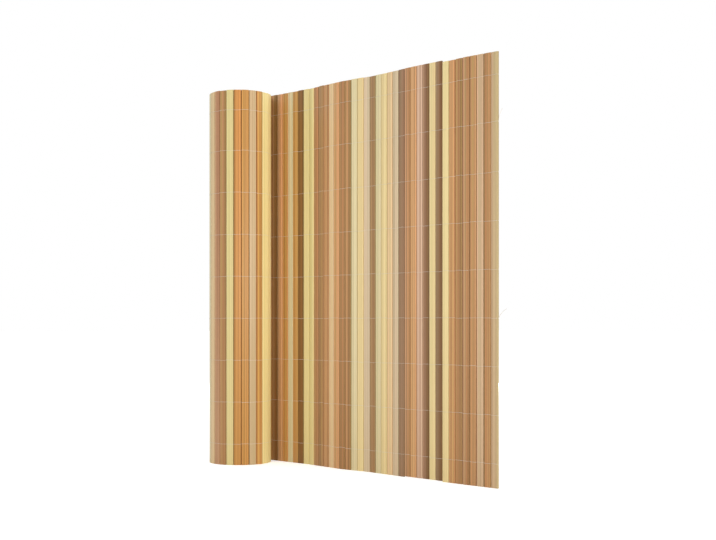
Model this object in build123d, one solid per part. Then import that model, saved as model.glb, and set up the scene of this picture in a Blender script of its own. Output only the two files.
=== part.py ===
from build123d import *
import math
import os

# A slatted privacy mat that stands on its end, part rolled up and part unrolled.
# Millimetres, +Z up. The sheet runs along +X from the roll to its free end.

# Slats: hollow strips with crowned faces and flat sides
MAT_HEIGHT = 900.0
SLAT_WIDTH = 17.4
SLAT_THICKNESS = 5.0
SLAT_SIDE = 4.4
SLAT_WALL = 0.6
SLAT_GAP = 1.4

# Gentle waves of the unrolled sheet: slats in each straight stretch from the roll out, and its heading
STRETCH_SLATS = (9, 6, 1, 4, 8, 7, 5)
STRETCH_ANGLES = (2.0, -4.0, 1.0, 5.8, -2.3, 0.0, 1.6)

# Roll: its slats, which close up to a small gap at their inner edges, the clear space at its core,
# and the wall left between its ridges
ROLL_SLATS = 120
ROLL_GAP = 0.2
CORE_DIAMETER = 71.0
GROOVE_WALL = 1.0

# Tie threads: even rows, each with a front and a back strand round the end slat
TIE_ROWS = 9
THREAD = 0.8
THREAD_CLEARANCE = 0.2
WRAP_ANGLE = 340.0

# Loose thread tails, by row counted from the top: length, and lean from upright
TAIL_LENGTHS = {2: 27.0, 6: 28.0}
TAIL_ANGLES = {2: 20.0, 6: 48.0}

# Least sine of the angle between neighbouring slats that counts as a bend
STRAIGHT = 1e-6

# Worked out from the sizes above
SLAT_PITCH = SLAT_WIDTH + SLAT_GAP
HALF_WIDTH = SLAT_WIDTH / 2
HALF_SIDE = SLAT_SIDE / 2
HALF_THICKNESS = SLAT_THICKNESS / 2
TURN_PITCH = SLAT_THICKNESS + THREAD + 2 * THREAD_CLEARANCE
CORE_RADIUS = CORE_DIAMETER / 2 + HALF_THICKNESS
THREAD_NEAR = HALF_THICKNESS + THREAD_CLEARANCE
THREAD_FAR = THREAD_NEAR + THREAD
ROW_PITCH = MAT_HEIGHT / TIE_ROWS


def point(place, along, out):
    """A point beside a slat, in plan."""
    return (place * Pos(along, out, 0)).position


def radius_at(wound):
    """Radius of the spiral's middle line after this angle is wound, in radians from the core."""
    return CORE_RADIUS + TURN_PITCH * wound / (2 * math.pi)


def wind_roll():
    """Angle wound at the middle of each rolled slat, from the core out, and where the sheet leaves the roll."""
    wound = 0.0
    middles = []
    for _ in range(ROLL_SLATS):
        middles.append(wound)
        wound += (SLAT_WIDTH + ROLL_GAP) / (radius_at(wound) - HALF_SIDE)
    return middles, wound


def roll_places(middles, end):
    """Places of the rolled slats, from the core out: X along the slat's width, Y out of the roll."""
    places = []
    for wound in middles:
        turned = Rot(0, 0, math.degrees(end - wound))
        places.append(turned * Pos(0, radius_at(wound), 0))
    return places


def sheet_places(end):
    """Places of the unrolled slats, from the one that touches the roll to the free end."""
    places = []
    gap = Vector(-SLAT_PITCH / 2, radius_at(end), 0)
    for count, heading in zip(STRETCH_SLATS, STRETCH_ANGLES):
        for _ in range(count):
            place = Pos(*gap) * Rot(0, 0, heading) * Pos(SLAT_PITCH / 2, 0, 0)
            places.append(place)
            gap = point(place, SLAT_PITCH / 2, 0)
    return places


def crowned_face():
    """Crowned edge across one face of a slat, in section."""
    return ThreePointArc((HALF_WIDTH, HALF_SIDE), (0, HALF_THICKNESS), (-HALF_WIDTH, HALF_SIDE))


def hollow():
    """Outline of the space inside a slat, in section."""
    return Rectangle(SLAT_WIDTH - 2 * SLAT_WALL, SLAT_SIDE - 2 * SLAT_WALL).wire()


def make_slat():
    """One hollow slat, open at both ends."""
    half = [crowned_face(), Line((-HALF_WIDTH, HALF_SIDE), (-HALF_WIDTH, -HALF_SIDE))]
    outline = Wire(half + [Rot(0, 0, 180) * edge for edge in half])
    return extrude(Face(outline, [hollow()]), MAT_HEIGHT)


def make_roll(places):
    """The roll's turns: one spiral wall with a hollow ridge for each slat and a groove at each gap.

    The ridges are crowned on the outside and flat on the inside, where the next turn hides them.
    """
    foot = GROOVE_WALL / 2
    rise = Line((HALF_WIDTH, foot), (HALF_WIDTH, HALF_SIDE))
    fall = Line((-HALF_WIDTH, HALF_SIDE), (-HALF_WIDTH, foot))
    flat_face = Line((HALF_WIDTH, HALF_SIDE), (-HALF_WIDTH, HALF_SIDE))
    ridges = [(place, crowned_face()) for place in reversed(places)]
    ridges += [(place * Rot(0, 0, 180), flat_face) for place in places]
    edges = []
    for (place, face), (following, _) in zip(ridges, ridges[1:] + ridges[:1]):
        edges += [place * edge for edge in (rise, face, fall)]
        edges.append(Line(point(place, -HALF_WIDTH, foot), point(following, HALF_WIDTH, foot)))
    section = Face(Wire(edges), [place * hollow() for place in places])
    return extrude(section, MAT_HEIGHT)


def strand_run(places, out, end):
    """Line over a run of slats at one distance from their middles, with a corner at each bend."""
    line = [point(places[0], -HALF_WIDTH, out)]
    for here, ahead in zip(places, places[1:]):
        start = point(here, 0, out)
        along = point(here, 1, out) - start
        target = point(ahead, 0, out)
        across = point(ahead, 0, out + 1) - target
        if abs(along.dot(across)) > STRAIGHT:
            line.append(start + along * ((target - start).dot(across) / along.dot(across)))
    return line + [point(places[-1], end, out)]


def make_tie(rolled, sheet):
    """One row's thread, centred on its height: back strand, turn round the end slat, front strand."""
    end_near = HALF_WIDTH + THREAD_CLEARANCE
    end_far = end_near + THREAD
    outline = strand_run(rolled + sheet, THREAD_FAR, end_far)
    outline += reversed(strand_run(sheet, -THREAD_FAR, end_far))
    outline += strand_run(sheet, -THREAD_NEAR, end_near)
    outline += reversed(strand_run(rolled + sheet, THREAD_NEAR, end_near))
    strand = extrude(make_face(Polyline(*outline, close=True)), THREAD)
    return Pos(0, 0, -THREAD / 2) * strand


def make_tail(end_place, length, lean):
    """Loose end of a row's thread, which stands up and out from the turn round the end slat."""
    tail = Box(THREAD, THREAD, length, align=(Align.CENTER, Align.CENTER, Align.MIN))
    foot = point(end_place, HALF_WIDTH + THREAD_CLEARANCE + THREAD / 2, 0)
    return Pos(*foot) * Rot(0, lean, 0) * tail


def make_ties(rolled, sheet):
    """All tie rows, from the top one down."""
    tie = make_tie(rolled, sheet)
    rows = []
    for row in range(1, TIE_ROWS + 1):
        thread = tie
        if row in TAIL_LENGTHS:
            thread = tie + make_tail(sheet[-1], TAIL_LENGTHS[row], TAIL_ANGLES[row])
        rows.append(Pos(0, 0, MAT_HEIGHT - (row - 0.5) * ROW_PITCH) * thread)
    return rows


def make_nodes():
    """Every piece under its node's name, about the roll's axis."""
    middles, end = wind_roll()
    rolled = roll_places(middles, end)
    sheet = sheet_places(end)
    outer_turn = [place for place, wound in zip(rolled, middles) if math.degrees(end - wound) < WRAP_ANGLE]
    slat = make_slat()
    nodes = {f"slat_{number:02d}": place * slat for number, place in enumerate(sheet, 1)}
    nodes["rolled_turns"] = make_roll(rolled)
    for number, tie in enumerate(make_ties(outer_turn, sheet), 1):
        nodes[f"tie_row_{number}"] = tie
    return nodes


# The origin is under the middle of the whole mat, on the surface that it stands on
nodes = make_nodes()
whole = Compound(children=[Compound(node.solids()) for node in nodes.values()]).bounding_box()
to_origin = Pos(-whole.center().X, -whole.center().Y, -whole.min.Z)
os.makedirs("parts", exist_ok=True)
for name, node in nodes.items():
    export_step(to_origin * node, f"parts/{name}.step")
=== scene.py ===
import math
import random

import bpy
from mathutils import Matrix, Vector


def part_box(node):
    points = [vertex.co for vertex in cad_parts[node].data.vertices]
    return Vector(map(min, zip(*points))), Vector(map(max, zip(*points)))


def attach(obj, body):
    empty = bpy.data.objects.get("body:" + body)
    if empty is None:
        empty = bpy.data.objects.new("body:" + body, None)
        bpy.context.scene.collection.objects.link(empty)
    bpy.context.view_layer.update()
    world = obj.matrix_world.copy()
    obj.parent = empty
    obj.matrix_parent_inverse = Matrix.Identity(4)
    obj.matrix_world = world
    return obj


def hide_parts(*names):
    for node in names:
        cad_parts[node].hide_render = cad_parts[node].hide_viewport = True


# A slatted privacy mat that stands on its end, part rolled up and part unrolled. Metres, degrees, +Z up
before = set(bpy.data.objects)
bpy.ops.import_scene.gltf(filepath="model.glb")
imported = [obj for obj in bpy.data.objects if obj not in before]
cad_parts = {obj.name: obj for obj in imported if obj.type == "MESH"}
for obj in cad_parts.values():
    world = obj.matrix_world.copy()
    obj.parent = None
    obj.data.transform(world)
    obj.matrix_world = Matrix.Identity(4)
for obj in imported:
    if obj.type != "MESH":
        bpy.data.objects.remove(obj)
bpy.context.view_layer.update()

# Sizes of the slats, the roll and the threads, as in the solids
MAT_HEIGHT = 0.900
SLAT_WIDTH = 0.0174
SLAT_THICKNESS = 0.0050
SLAT_SIDE = 0.0044
SLAT_GAP = 0.0014
STRETCH_SLATS = (9, 6, 1, 4, 8, 7, 5)
STRETCH_ANGLES = (2.0, -4.0, 1.0, 5.8, -2.3, 0.0, 1.6)
ROLL_SLATS = 120
ROLL_GAP = 0.0002
CORE_DIAMETER = 0.0710
TIE_ROWS = 9
THREAD = 0.0008
THREAD_CLEARANCE = 0.0002
WRAP_ANGLE = 340.0
TAIL_LENGTHS = {2: 0.027, 6: 0.028}
TAIL_ANGLES = {2: 20.0, 6: 48.0}

# Finer form of the slats: even wall, rounded edges, a small break at each cut end
WALL = 0.0005
EDGE_RADIUS = 0.0012
EDGE_STEPS = 4
FACE_STEPS = 3
SHARP_ANGLE = 40.0
CUT_BREAK = 0.0003

# Finer form of the threads: round yarn that wanders up and down, with its strands apart where they cross.
# It is drawn across a slat at these shares of the half width. A knot's depth is a share of the yarn, and a
# tail's bow is a share of its length
YARN = 0.0006
YARN_WANDER = 0.0008
CROSSING_LIFT = 0.55 * YARN
ACROSS_SHARES = (-0.9, -0.45, 0.0, 0.45, 0.9)
KNOT_STEPS = 24
KNOT_DEPTH = 0.5
TAIL_STEPS = 5
TAIL_BOW = 0.08

# Rows that sit off their even height: the lift of each, on the roll and on the sheet
ROLL_ROW_LIFTS = {1: -0.003}
SHEET_ROW_LIFTS = {2: 0.003}

# Worked out from the sizes above
SLAT_PITCH = SLAT_WIDTH + SLAT_GAP
HALF_WIDTH = SLAT_WIDTH / 2
HALF_SIDE = SLAT_SIDE / 2
HALF_THICKNESS = SLAT_THICKNESS / 2
CROWN = HALF_THICKNESS - HALF_SIDE
TURN_PITCH = SLAT_THICKNESS + THREAD + 2 * THREAD_CLEARANCE
CORE_RADIUS = CORE_DIAMETER / 2 + HALF_THICKNESS
ROW_PITCH = MAT_HEIGHT / TIE_ROWS
KNOT_OUT = HALF_WIDTH + THREAD_CLEARANCE + THREAD / 2

# How much the slats differ: trim of the cut ends, turn about the upright, step in and out of the sheet.
# A few have slid up in their ties, the last ones are cut a little shorter, and so are the rolled ones.
# Three slats crowd towards the roll, and the far half of the sheet drifts that way by less
TRIM = 0.0012
RAISED_SLATS = range(27, 33)
RAISE = 0.0015
SHORT_SLATS = range(33, 41)
SHORT_TRIM = 0.0022
ROLL_TRIM = 0.0050
CROWDED_SLATS = range(7, 10)
CROWD = 0.0011
DRIFT_START = 20
DRIFT = 0.0009
TURN_SPREAD = 0.9
STEP_SPREAD = 0.00015
SEED = 7

# Slat colours: the record's slot, the colour as seen in daylight in sRGB, and how strongly it is streaked
TONES = {
    "cream": ("pvc_cream", (233, 211, 153), 0.30),
    "butter": ("pvc_cream", (233, 214, 149), 0.30),
    "straw": ("pvc_cream", (213, 195, 136), 0.30),
    "pale": ("pvc_pale", (221, 206, 161), 0.45),
    "beige": ("pvc_beige", (213, 191, 157), 0.50),
    "sand": ("pvc_beige", (205, 173, 135), 0.60),
    "drab": ("pvc_beige", (190, 165, 124), 0.50),
    "peach": ("pvc_peach", (231, 199, 151), 0.35),
    "pink_beige": ("pvc_pink_beige", (205, 170, 141), 0.60),
    "rose": ("pvc_pink_beige", (193, 149, 109), 0.90),
    "light_orange": ("pvc_light_orange", (213, 163, 111), 0.70),
    "orange_tan": ("pvc_orange_tan", (204, 154, 102), 0.80),
    "honey": ("pvc_orange_tan", (199, 147, 83), 0.80),
    "amber": ("pvc_orange_tan", (187, 135, 70), 0.90),
    "tan": ("pvc_tan", (186, 140, 92), 1.00),
    "brown": ("pvc_brown", (168, 126, 80), 1.00),
    "olive": ("pvc_brown", (169, 133, 89), 0.80),
    "taupe": ("pvc_taupe", (156, 123, 91), 0.70),
    "mauve": ("pvc_taupe", (172, 131, 100), 0.80),
    "moss": ("pvc_umber", (126, 93, 54), 0.80),
    "umber": ("pvc_umber", (135, 95, 46), 0.90),
}

# Sheet from the roll to the free end. A slat with two colours has the one nearer the core first, and they
# blend over the middle of its width
# The umber half of the third slat and the rose half of the fourth are painted shade from the crevice beside
# the roll
SHEET_TONES = """
    tan amber orange_tan/umber rose/light_orange honey pale honey umber butter butter
    tan olive/tan light_orange/tan peach light_orange brown tan/brown pale cream beige
    olive pale cream peach beige taupe rose/tan light_orange pink_beige mauve/moss
    cream taupe/moss cream orange_tan tan/brown rose/brown tan sand tan sand/drab
""".split()
BLEND_WIDTH = SLAT_WIDTH / 2

# Outer turn of the roll, from the slat next to the sheet back along the winding
OUTER_TONES = """
    brown cream tan orange_tan cream brown beige tan light_orange cream
    pale peach rose brown/tan straw amber amber drab honey butter
    butter butter tan brown
""".split()

# Streaks in the PVC: scale of the noise per metre across, per slat and per metre along, its detail, and the
# tint at each level of it. The fine lines from the die are on all slats alike, and painted shade darkens
# their sides, in the gaps between slats
PLAIN = (1.00, 1.00, 1.00)
STREAKS = {
    "broad": ((210, 41, 0.5), 1.0, [(0.28, (0.70, 0.67, 0.63)), (0.50, PLAIN), (0.72, (1.22, 1.24, 1.28))]),
    "hue": ((180, 67, 0.4), 0.0, [(0.30, (1.08, 0.94, 0.92)), (0.50, PLAIN), (0.70, (0.93, 1.04, 0.86))]),
    "narrow": ((430, 53, 0.8), 0.0, [(0.28, (0.72, 0.68, 0.62)), (0.50, PLAIN), (0.72, (1.16, 1.17, 1.20))]),
}
FINE_LINES = ((2100, 83, 1.2), 2.0, [(0.3, (0.96, 0.95, 0.94)), (0.7, (1.02, 1.02, 1.02))])
# Painted shade on the slats' sides, in the gaps: how far in from a side it reaches, and its tint at each
# level
GAP_SHADE_REACH = 0.0006
GAP_SHADE_TINTS = [(0.2, PLAIN), (0.9, (0.86, 0.83, 0.80))]

# Grain number of the first rolled slat, past those of the sheet
ROLL_GRAIN = 100

# Linear colours of the yarn, from the dark of its fuzz to the light
YARN_COLOURS = [(0.3, (0.6364, 0.5695, 0.4592)), (0.7, (0.74, 0.67, 0.56))]

# Camera, fitted to the photograph: its place and its turn about the upright. The focal length, the horizon
# and the picture's width are in pixels, the sensor's width in millimetres
CAMERA_PLACE = (1.9685, -1.8603, 0.3451)
CAMERA_AZIMUTH = 45.69
FOCAL_PIXELS = 1207.0
HORIZON_BELOW_MIDDLE = 50.3
IMAGE_WIDTH = 716
SENSOR_WIDTH = 36.0

# Light: an even white surround, and softboxes that stand on the floor, with the power and place of each
SURROUND = 0.75
SOFTBOXES = {
    "key": (68.0, (4.2, -0.3)),
    "fill": (51.0, (3.4, -2.7)),
    "back": (55.0, (-2.4, 3.2)),
}
SOFTBOX_WIDTH = 1.5
SOFTBOX_HEIGHT = 1.5

# Floor, just under the mat's foot, and the strength of its glow
FLOOR_SIZE = 60.0
FLOOR_LEVEL = -0.0003
FLOOR_GLOW = 0.50


def tone_values(name):
    """A tone's linear colour, by the sRGB formula, and the strength of its streaks, in one vector."""
    _, colour, streak = TONES[name]
    return Vector([((value / 255 + 0.055) / 1.055) ** 2.4 for value in colour] + [streak])


def radius_at(wound):
    """Radius of the spiral's middle line after this angle is wound, in radians from the core."""
    return CORE_RADIUS + TURN_PITCH * wound / (2 * math.pi)


def wind_roll():
    """Angle wound at the middle of each rolled slat, from the core out, and where the sheet starts."""
    wound = 0.0
    middles = []
    for _ in range(ROLL_SLATS):
        middles.append(wound)
        wound += (SLAT_WIDTH + ROLL_GAP) / (radius_at(wound) - HALF_SIDE)
    return middles, wound


def roll_places(middles, end):
    """Places of the rolled slats, from the core out: X along the slat's width, Y out of the roll."""
    places = []
    for wound in middles:
        turned = Matrix.Rotation(end - wound, 4, "Z")
        places.append(turned @ Matrix.Translation((0, radius_at(wound), 0)))
    return places


def sheet_places(end):
    """Places of the unrolled slats, from the one that touches the roll to the free end."""
    places = []
    gap = Vector((-SLAT_PITCH / 2, radius_at(end), 0))
    half_step = Matrix.Translation((SLAT_PITCH / 2, 0, 0))
    for count, heading in zip(STRETCH_SLATS, STRETCH_ANGLES):
        turned = Matrix.Rotation(math.radians(heading), 4, "Z")
        for _ in range(count):
            place = Matrix.Translation(gap) @ turned @ half_step
            places.append(place)
            gap = place @ Vector((SLAT_PITCH / 2, 0, 0))
    return places


def face_height(along, half_width, half_thickness):
    """Height of a slat's crowned face at this distance from its middle."""
    return half_thickness - CROWN * (along / half_width) ** 2


def slat_outline(inset):
    """Outline of a slat's section, moved in from its surface: flat sides, rounded edges, crowned faces."""
    half_width = HALF_WIDTH - inset
    half_thickness = HALF_THICKNESS - inset
    radius = EDGE_RADIUS - inset
    edge = half_width - radius
    shoulder = face_height(edge, half_width, half_thickness) - radius
    quarter = []
    for step in range(EDGE_STEPS + 1):
        angle = math.pi / 2 * step / EDGE_STEPS
        quarter.append((edge + radius * math.cos(angle), shoulder + radius * math.sin(angle)))
    for step in range(1, FACE_STEPS):
        along = edge * (1 - step / FACE_STEPS)
        quarter.append((along, face_height(along, half_width, half_thickness)))
    top = [(0, half_thickness)]
    left = [(-x, y) for x, y in reversed(quarter)]
    half = quarter + top + left
    return half + [(-x, -y) for x, y in half]


OUTLINE = slat_outline(0)
BROKEN_OUTLINE = slat_outline(CUT_BREAK / 2)
HOLLOW_OUTLINE = slat_outline(WALL)


class SlatMesh:
    """Hollow slats gathered into one mesh, with each slat's colour and grain on its points."""

    def __init__(self):
        self.points = []
        self.faces = []
        self.tones = []
        self.grains = []

    def add(self, place, tone, low, high, grain):
        """One slat at its place, from its foot to its top. Its hollow is open at both ends."""
        left, _, right = tone.partition("/")
        left_tone = tone_values(left)
        right_tone = tone_values(right or left)
        rings = [
            (HOLLOW_OUTLINE, high),
            (HOLLOW_OUTLINE, low),
            (BROKEN_OUTLINE, low),
            (OUTLINE, low + CUT_BREAK),
            (OUTLINE, high - CUT_BREAK),
            (BROKEN_OUTLINE, high),
        ]
        first = len(self.points)
        for outline, level in rings:
            for along, out in outline:
                self.points.append(place @ Vector((along, out, level)))
                share = min(1, max(0, 0.5 + along / BLEND_WIDTH))
                self.tones.append(left_tone.lerp(right_tone, share))
                self.grains.append((along, grain, level))
        count = len(OUTLINE)
        for ring in range(len(rings)):
            here = first + ring * count
            there = first + (ring + 1) % len(rings) * count
            for corner in range(count):
                following = (corner + 1) % count
                self.faces.append((here + corner, there + corner, there + following, here + following))

    def build(self, name, material):
        """The gathered slats as an object of the scene."""
        mesh = bpy.data.meshes.new(name)
        mesh.from_pydata(self.points, [], self.faces)
        tones = mesh.attributes.new("tone", "FLOAT_COLOR", "POINT")
        grains = mesh.attributes.new("grain", "FLOAT_VECTOR", "POINT")
        for index, (tone, grain) in enumerate(zip(self.tones, self.grains)):
            tones.data[index].color = tone
            grains.data[index].vector = grain
        mesh.shade_smooth()
        mesh.set_sharp_from_angle(angle=math.radians(SHARP_ANGLE))
        mesh.materials.append(material)
        made = bpy.data.objects.new(name, mesh)
        bpy.context.scene.collection.objects.link(made)
        return made


def add_node(tree, kind, values=None, **settings):
    """A shader node with its settings and its sockets' values."""
    made = tree.nodes.new(kind)
    for name, setting in settings.items():
        setattr(made, name, setting)
    for name, value in (values or {}).items():
        made.inputs[name].default_value = value
    return made


def new_material(name):
    """A new material, its node tree and its principled shader."""
    material = bpy.data.materials.new(name)
    material.use_nodes = True
    return material, material.node_tree, material.node_tree.nodes["Principled BSDF"]


def streaks(tree, grain, scale, detail):
    """Noise drawn out along the slats."""
    scaled = add_node(tree, "ShaderNodeVectorMath", operation="MULTIPLY")
    scaled.inputs[1].default_value = scale
    noise = add_node(tree, "ShaderNodeTexNoise", {"Scale": 1.0, "Detail": detail, "Roughness": 0.55})
    tree.links.new(grain.outputs["Vector"], scaled.inputs[0])
    tree.links.new(scaled.outputs["Vector"], noise.inputs["Vector"])
    return noise.outputs["Fac"]


def coloured(tree, pattern, stops):
    """A colour that follows the pattern from stop to stop."""
    ramp = add_node(tree, "ShaderNodeValToRGB")
    elements = ramp.color_ramp.elements
    while len(elements) < len(stops):
        elements.new(0.5)
    for element, (position, colour) in zip(elements, stops):
        element.position = position
        element.color = (*colour, 1)
    tree.links.new(pattern, ramp.inputs["Fac"])
    return ramp.outputs["Color"]


def tinted(tree, colour, pattern, tints, strength=None):
    """The colour multiplied by a tint that follows the pattern, wholly or by the strength of a socket."""
    mix = add_node(tree, "ShaderNodeMix", {"Factor": 1}, data_type="RGBA", blend_type="MULTIPLY")
    tree.links.new(colour, mix.inputs["A"])
    tree.links.new(coloured(tree, pattern, tints), mix.inputs["B"])
    if strength:
        tree.links.new(strength, mix.inputs["Factor"])
    return mix.outputs["Result"]


def edge_nearness(tree, grain):
    """Runs from 0 on a slat's faces to 1 on its flat sides."""
    reach = {"From Min": HALF_WIDTH - GAP_SHADE_REACH, "From Max": HALF_WIDTH}
    parts = add_node(tree, "ShaderNodeSeparateXYZ")
    across = add_node(tree, "ShaderNodeMath", operation="ABSOLUTE")
    nearness = add_node(tree, "ShaderNodeMapRange", reach)
    tree.links.new(grain.outputs["Vector"], parts.inputs["Vector"])
    tree.links.new(parts.outputs["X"], across.inputs[0])
    tree.links.new(across.outputs["Value"], nearness.inputs["Value"])
    return nearness.outputs["Result"]


def pvc_material():
    """Satin PVC in each slat's own colour, with streaks, fine lines from its die, and painted shade in the
    gaps.
    """
    material, tree, shader = new_material("slat_pvc")
    tone = add_node(tree, "ShaderNodeAttribute", attribute_name="tone")
    grain = add_node(tree, "ShaderNodeAttribute", attribute_name="grain")
    colour = tone.outputs["Color"]
    for scale, detail, tints in STREAKS.values():
        colour = tinted(tree, colour, streaks(tree, grain, scale, detail), tints, tone.outputs["Alpha"])
    scale, detail, tints = FINE_LINES
    fine = streaks(tree, grain, scale, detail)
    colour = tinted(tree, colour, fine, tints)
    # Painted shade: each slat's flat sides, in the gaps, are darkened
    colour = tinted(tree, colour, edge_nearness(tree, grain), GAP_SHADE_TINTS)
    tree.links.new(colour, shader.inputs["Base Color"])
    gloss = add_node(tree, "ShaderNodeMapRange", {"To Min": 0.36, "To Max": 0.52})
    tree.links.new(fine, gloss.inputs["Value"])
    tree.links.new(gloss.outputs["Result"], shader.inputs["Roughness"])
    bump = add_node(tree, "ShaderNodeBump", {"Strength": 0.25, "Distance": 0.00005})
    tree.links.new(fine, bump.inputs["Height"])
    tree.links.new(bump.outputs["Normal"], shader.inputs["Normal"])
    shader.inputs["Specular IOR Level"].default_value = 0.4
    return material


def thread_material():
    """Pale nylon yarn with the lie of its twist."""
    material, tree, shader = new_material("nylon_yarn")
    place = add_node(tree, "ShaderNodeTexCoord")
    lie = {"Scale": 620.0, "Distortion": 1.5, "Detail": 1.0}
    twist = add_node(tree, "ShaderNodeTexWave", lie, bands_direction="DIAGONAL")
    fuzz = add_node(tree, "ShaderNodeTexNoise", {"Scale": 900.0, "Detail": 2.0})
    tree.links.new(place.outputs["Object"], twist.inputs["Vector"])
    tree.links.new(place.outputs["Object"], fuzz.inputs["Vector"])
    tree.links.new(coloured(tree, fuzz.outputs["Fac"], YARN_COLOURS), shader.inputs["Base Color"])
    bump = add_node(tree, "ShaderNodeBump", {"Strength": 0.6, "Distance": 0.0001})
    tree.links.new(twist.outputs["Fac"], bump.inputs["Height"])
    tree.links.new(bump.outputs["Normal"], shader.inputs["Normal"])
    shader.inputs["Roughness"].default_value = 0.42
    shader.inputs["Sheen Weight"].default_value = 0.2
    return material


def floor_material():
    """Plain pale floor with a glow that only the camera sees, so that it runs into the white surround."""
    material, tree, shader = new_material("pale_floor")
    shader.inputs["Base Color"].default_value = (0.94, 0.94, 0.94, 1)
    shader.inputs["Roughness"].default_value = 0.9
    shader.inputs["Specular IOR Level"].default_value = 0.0
    shader.inputs["Emission Color"].default_value = (1, 1, 1, 1)
    path = add_node(tree, "ShaderNodeLightPath")
    glow = add_node(tree, "ShaderNodeMath", operation="MULTIPLY")
    glow.inputs[1].default_value = FLOOR_GLOW
    tree.links.new(path.outputs["Is Camera Ray"], glow.inputs[0])
    tree.links.new(glow.outputs["Value"], shader.inputs["Emission Strength"])
    return material


def slid(place, number):
    """A slat's place after its slide along the sheet towards the roll."""
    slide = 0.0
    if number in CROWDED_SLATS:
        slide = CROWD
    elif number > DRIFT_START:
        angle = math.pi * (number - DRIFT_START) / (len(SHEET_TONES) - DRIFT_START)
        slide = DRIFT * math.sin(angle)
    return place @ Matrix.Translation((-slide, 0, 0))


def uneven(place, chance):
    """A slat's place with the small turn and step that a tied slat has."""
    turn = math.radians(chance.uniform(-TURN_SPREAD, TURN_SPREAD))
    step = chance.uniform(-STEP_SPREAD, STEP_SPREAD)
    return place @ Matrix.Translation((0, step, 0)) @ Matrix.Rotation(turn, 4, "Z")


def make_sheet(places, material, chance):
    """The unrolled slats, one piece each."""
    for number, (place, tone) in enumerate(zip(places, SHEET_TONES), 1):
        low = 0.0
        high = MAT_HEIGHT
        if number in RAISED_SLATS:
            low = RAISE
        else:
            high -= chance.uniform(0, TRIM)
        if number in SHORT_SLATS:
            high -= SHORT_TRIM
        slat = SlatMesh()
        slat.add(uneven(place, chance), tone, low, high, number)
        piece = slat.build(f"pvc_slat_{number:02d}", material)
        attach(piece, "root")
        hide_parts(f"slat_{number:02d}")


def make_roll(places, material, chance):
    """All rolled slats as one piece. Behind the outer turn their colours are mixed."""
    slats = SlatMesh()
    for number, place in enumerate(reversed(places)):
        if number < len(OUTER_TONES):
            tone = OUTER_TONES[number]
        else:
            tone = chance.choice(sorted(TONES))
        high = MAT_HEIGHT - ROLL_TRIM - chance.uniform(0, TRIM)
        slats.add(place, tone, 0.0, high, ROLL_GRAIN + number)
    piece = slats.build("rolled_slats", material)
    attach(piece, "root")
    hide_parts("rolled_turns")


def over_slat(place, side, level):
    """Points of a strand across one slat, on its outer side at 1 or its inner side at -1."""
    points = []
    for share in ACROSS_SHARES:
        along = share * HALF_WIDTH
        out = side * (face_height(along, HALF_WIDTH, HALF_THICKNESS) + YARN / 2)
        points.append(place @ Vector((along, out, level)))
    return points


def between(here, ahead, out, level):
    """Point in the gap between two slats."""
    near = here @ Vector((HALF_WIDTH, out, level))
    far = ahead @ Vector((-HALF_WIDTH, out, level))
    return (near + far) / 2


def strand(rolled, sheet, start, roll_height, sheet_height, chance):
    """Line of one of a row's two strands: over the roll's outside, then behind and before slats in turn."""
    places = rolled + sheet
    points = []
    lift = CROSSING_LIFT * start
    for index, place in enumerate(places):
        on_sheet = index - len(rolled)
        side = 1
        height = roll_height
        if on_sheet >= 0:
            side = start if on_sheet % 2 == 0 else -start
            height = sheet_height
        level = height + chance.uniform(-YARN_WANDER, YARN_WANDER)
        points += over_slat(place, side, level)
        if index + 1 < len(places):
            out = 0.0 if on_sheet >= 0 else HALF_SIDE
            points.append(between(place, places[index + 1], out, height + lift))
            lift = -lift
    return points


def knot(place, height):
    """Line of the small knot that ties a row's two strands at the free end."""
    points = []
    middle = Vector((KNOT_OUT, 0, height))
    for step in range(KNOT_STEPS + 1):
        angle = 2 * math.pi * step / KNOT_STEPS
        loop = Vector((
            KNOT_DEPTH * math.sin(2 * angle),
            math.sin(angle) + math.sin(2 * angle),
            math.cos(angle) - math.cos(2 * angle),
        ))
        points.append(place @ (middle + loop * YARN))
    return points


def tail(place, height, length, lean):
    """Line of a loose thread end that stands up and out from its knot, with a slight bow."""
    root = place @ Vector((KNOT_OUT, 0, height))
    turned = Matrix.Rotation(math.radians(lean), 4, "Y")
    points = []
    for step in range(TAIL_STEPS + 1):
        share = step / TAIL_STEPS
        bow = TAIL_BOW * length * math.sin(math.pi * share)
        points.append(root + turned @ Vector((-bow, 0, share * length)))
    return points


def row_lines(row, rolled, sheet, chance):
    """Lines of one row, each with its thickness: two strands, a knot, and on some rows a tail."""
    even_height = MAT_HEIGHT - (row - 0.5) * ROW_PITCH
    roll_height = even_height + ROLL_ROW_LIFTS.get(row, 0.0)
    sheet_height = even_height + SHEET_ROW_LIFTS.get(row, 0.0)
    last = sheet[-1]
    lines = [
        (strand(rolled, sheet, 1, roll_height, sheet_height, chance), YARN),
        (strand([], sheet, -1, roll_height, sheet_height, chance), YARN),
        (knot(last, sheet_height), YARN),
    ]
    if row in TAIL_LENGTHS:
        lines.append((tail(last, sheet_height, TAIL_LENGTHS[row], TAIL_ANGLES[row]), THREAD))
    return lines


def make_threads(rolled, sheet, material, chance):
    """The tie rows, from the top one down, one piece each."""
    for row in range(1, TIE_ROWS + 1):
        curve = bpy.data.curves.new(f"thread_row_{row}", "CURVE")
        curve.dimensions = "3D"
        curve.bevel_depth = YARN / 2
        curve.bevel_resolution = 1
        curve.resolution_u = 3
        curve.use_fill_caps = True
        for line, thickness in row_lines(row, rolled, sheet, chance):
            spline = curve.splines.new("NURBS")
            spline.points.add(len(line) - 1)
            for control, point in zip(spline.points, line):
                control.co = (*point, 1)
                control.radius = thickness / YARN
            spline.order_u = 3
            spline.use_endpoint_u = True
        curve.materials.append(material)
        piece = bpy.data.objects.new(f"thread_row_{row}", curve)
        bpy.context.scene.collection.objects.link(piece)
        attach(piece, "root")
        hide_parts(f"tie_row_{row}")


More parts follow.
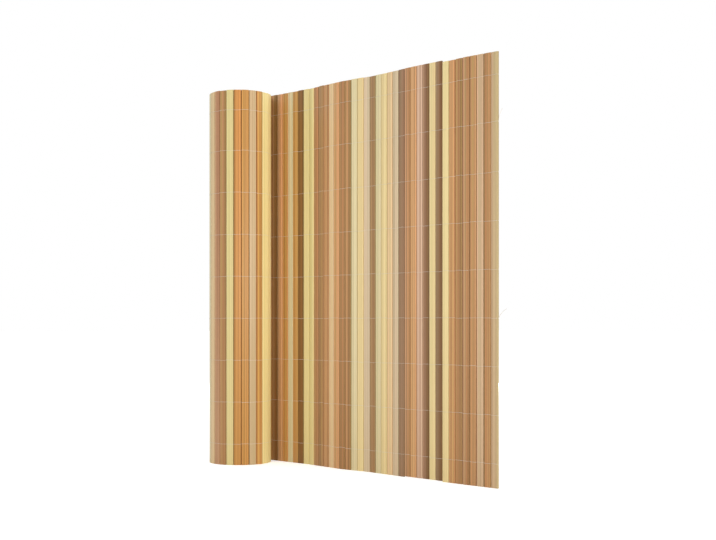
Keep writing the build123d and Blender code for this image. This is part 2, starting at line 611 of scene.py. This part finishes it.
def make_mat():
    """The whole mat, set where the solids are."""
    middles, end = wind_roll()
    sheet = sheet_places(end)
    low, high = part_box("slat_01")
    centre = (low + high) / 2
    first = sheet[0].translation
    to_frame = Matrix.Translation((centre.x - first.x, centre.y - first.y, 0))
    sheet = [slid(to_frame @ place, number) for number, place in enumerate(sheet, 1)]
    rolled = [to_frame @ place for place in roll_places(middles, end)]
    outer_turn = [place for place, wound in zip(rolled, middles) if math.degrees(end - wound) < WRAP_ANGLE]
    pvc = pvc_material()
    make_sheet(sheet, pvc, random.Random(SEED))
    make_roll(rolled, pvc, random.Random(SEED + 1))
    make_threads(outer_turn, sheet, thread_material(), random.Random(SEED + 2))


def make_camera():
    """The camera at the photograph's viewing angle."""
    data = bpy.data.cameras.new("camera")
    data.sensor_fit = "HORIZONTAL"
    data.sensor_width = SENSOR_WIDTH
    data.lens = FOCAL_PIXELS * SENSOR_WIDTH / IMAGE_WIDTH
    data.shift_y = HORIZON_BELOW_MIDDLE / IMAGE_WIDTH
    data.clip_end = 2 * FLOOR_SIZE
    camera = bpy.data.objects.new("camera", data)
    camera.location = CAMERA_PLACE
    camera.rotation_euler = (math.radians(90), 0, math.radians(CAMERA_AZIMUTH))
    bpy.context.scene.collection.objects.link(camera)
    bpy.context.scene.camera = camera


def make_floor():
    """A wide plain floor under the mat."""
    half = FLOOR_SIZE / 2
    corners = [(x, y, FLOOR_LEVEL) for x, y in ((-half, -half), (half, -half), (half, half), (-half, half))]
    mesh = bpy.data.meshes.new("floor")
    mesh.from_pydata(corners, [], [(0, 1, 2, 3)])
    mesh.materials.append(floor_material())
    floor = bpy.data.objects.new("floor", mesh)
    bpy.context.scene.collection.objects.link(floor)


def make_surround():
    """Even white light from all round, seen by the camera as plain white."""
    scene = bpy.context.scene
    scene.view_settings.view_transform = "Standard"
    scene.world = bpy.data.worlds.new("studio")
    scene.world.use_nodes = True
    tree = scene.world.node_tree
    tree.nodes.clear()
    lit = add_node(tree, "ShaderNodeBackground", {"Color": (1, 1, 1, 1), "Strength": SURROUND})
    seen = add_node(tree, "ShaderNodeBackground", {"Color": (1, 1, 1, 1), "Strength": 1.0})
    path = add_node(tree, "ShaderNodeLightPath")
    mix = add_node(tree, "ShaderNodeMixShader")
    output = add_node(tree, "ShaderNodeOutputWorld")
    tree.links.new(path.outputs["Is Camera Ray"], mix.inputs["Fac"])
    tree.links.new(lit.outputs["Background"], mix.inputs[1])
    tree.links.new(seen.outputs["Background"], mix.inputs[2])
    tree.links.new(mix.outputs["Shader"], output.inputs["Surface"])


def make_softboxes():
    """The softboxes, each turned to the middle of the mat."""
    for name, (power, (x, y)) in SOFTBOXES.items():
        data = bpy.data.lights.new(name, "AREA")
        data.energy = power
        data.shape = "RECTANGLE"
        data.size = SOFTBOX_WIDTH
        data.size_y = SOFTBOX_HEIGHT
        softbox = bpy.data.objects.new(name, data)
        softbox.location = (x, y, SOFTBOX_HEIGHT / 2)
        softbox.rotation_euler = Vector((-x, -y, 0)).to_track_quat("-Z", "Y").to_euler()
        bpy.context.scene.collection.objects.link(softbox)


make_camera()
make_floor()
make_surround()
make_softboxes()
make_mat()
